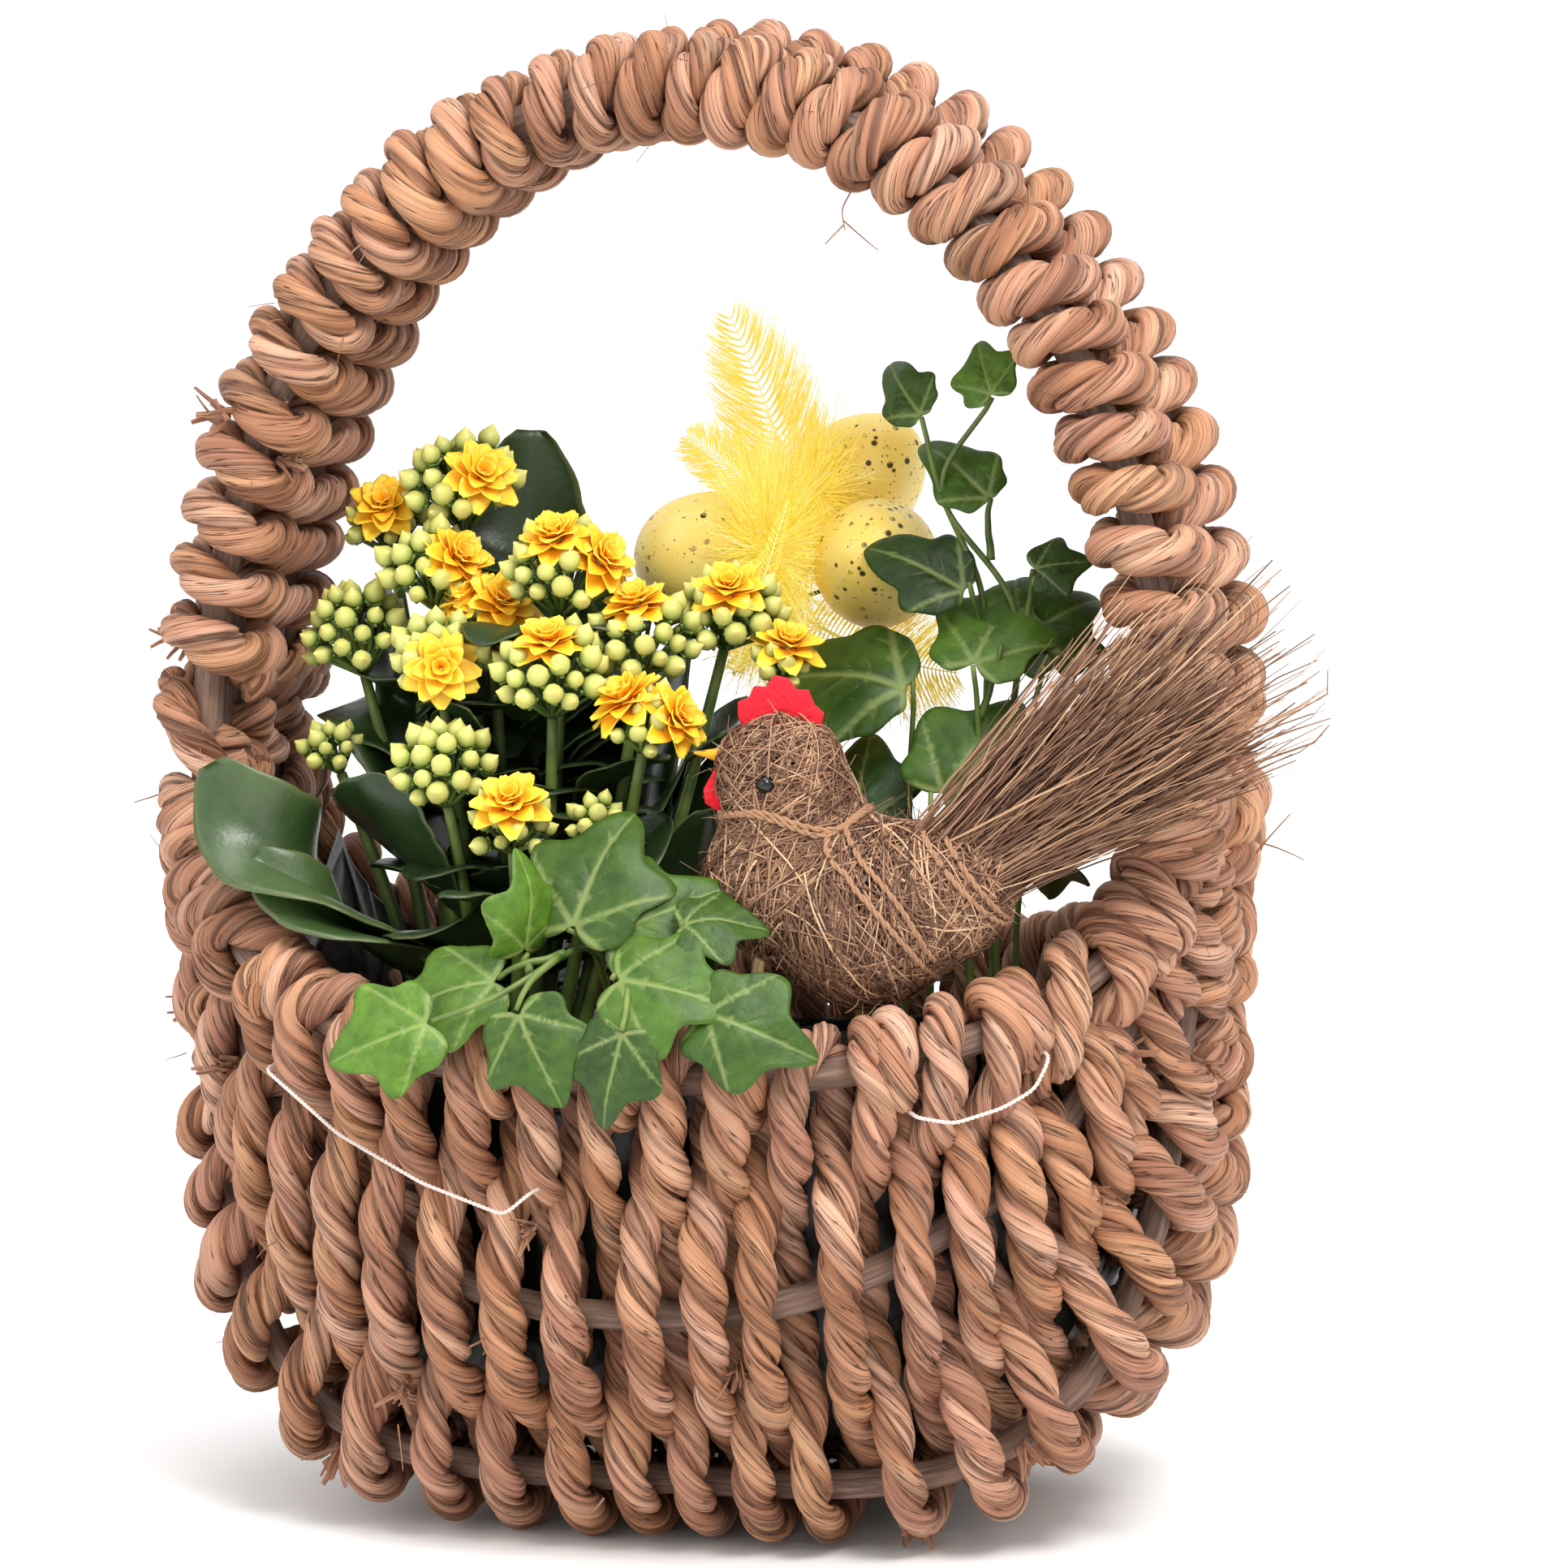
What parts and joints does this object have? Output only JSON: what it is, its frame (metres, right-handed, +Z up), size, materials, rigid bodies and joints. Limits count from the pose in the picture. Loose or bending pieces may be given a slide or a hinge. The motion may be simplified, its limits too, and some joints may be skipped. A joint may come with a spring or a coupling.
{
  "type": "easter basket",
  "caption": "Rope-woven handle basket on a willow frame, lined, planted with kalanchoe and ivy, with a pull-out egg pick and fibre hen.",
  "frame": {"origin": "centre of the flat underside, on the surface the basket stands on", "axes": "+Z up, -Y the front that shows the hen and the flowers, +X to the right seen from the front, along the handle"},
  "size_m": [0.259, 0.1974, 0.332],
  "materials": {
    "rod": "unpeeled willow rod, grey-brown bark, dull",
    "rope": "two-ply rope twisted from folded dried leaf, creased, slight waxy sheen",
    "film": "thin black film, crumpled, soft gloss",
    "thread": "white twisted thread",
    "soil": "moist crumbly planting soil",
    "stem": "green plant stem, matt",
    "succulent_leaf": "thick dark green leaf, satin",
    "bud": "closed green-yellow flower buds",
    "petal": "yellow double flowers",
    "ivy_leaf": "ivy leaf with pale veins, satin",
    "stick": "plain split-wood stick",
    "wire": "thin florist wire",
    "egg": "painted yellow egg with dark speckles, semi-matt",
    "feather": "dyed yellow feather and down",
    "fibre": "wound brown plant fibre",
    "felt": "red felt",
    "beak": "small folded yellow felt",
    "bead": "black glossy bead",
    "twine": "loosely spun jute twine"
  },
  "bodies": {
    "root": {"front_hoop": "rod", "back_hoop": "rod", "rib_front_upper": "rod", "rib_front_lower": "rod", "rib_keel": "rod", "rib_back_lower": "rod", "rib_back_upper": "rod", "weave_front": "rope", "weave_base": "rope", "weave_back": "rope", "weave_left_side": "rope", "weave_right_side": "rope", "weave_left_leg": "rope", "weave_right_leg": "rope", "handle_lacing": "rope", "liner_film": "film", "stitch_left": "thread", "stitch_right": "thread", "soil": "soil", "kalanchoe_stems": "stem", "kalanchoe_leaves": "succulent_leaf", "kalanchoe_heads": "bud", "kalanchoe_flowers": "petal", "ivy_front_vines": "stem", "ivy_front_leaves": "ivy_leaf", "ivy_back_vines": "stem", "ivy_back_leaves": "ivy_leaf"},
    "egg_pick": {"egg_stick": "stick", "egg_wires": "wire", "egg_left": "egg", "egg_front": "egg", "egg_back": "egg", "egg_down_tuft": "feather", "feather_tall": "feather", "feather_short": "feather", "feather_front": "feather", "feather_low": "feather"},
    "hen": {"hen_body": "fibre", "hen_head": "fibre", "hen_tail": "fibre", "hen_comb": "felt", "hen_wattle": "felt", "hen_beak": "beak", "hen_eyes": "bead", "hen_neck_twine": "twine", "hen_chest_twine": "twine", "hen_tail_twine": "twine", "hen_stick": "stick"}
  },
  "joints": [
    {"name": "egg_pick_pull", "type": "slide", "parent": "root", "child": "egg_pick", "axis": [0, 0.342, 0.9397], "range_m": [0, 0.07]},
    {"name": "hen_pull", "type": "slide", "parent": "root", "child": "hen", "axis": [0, 0, 1], "range_m": [0, 0.07]}
  ]
}
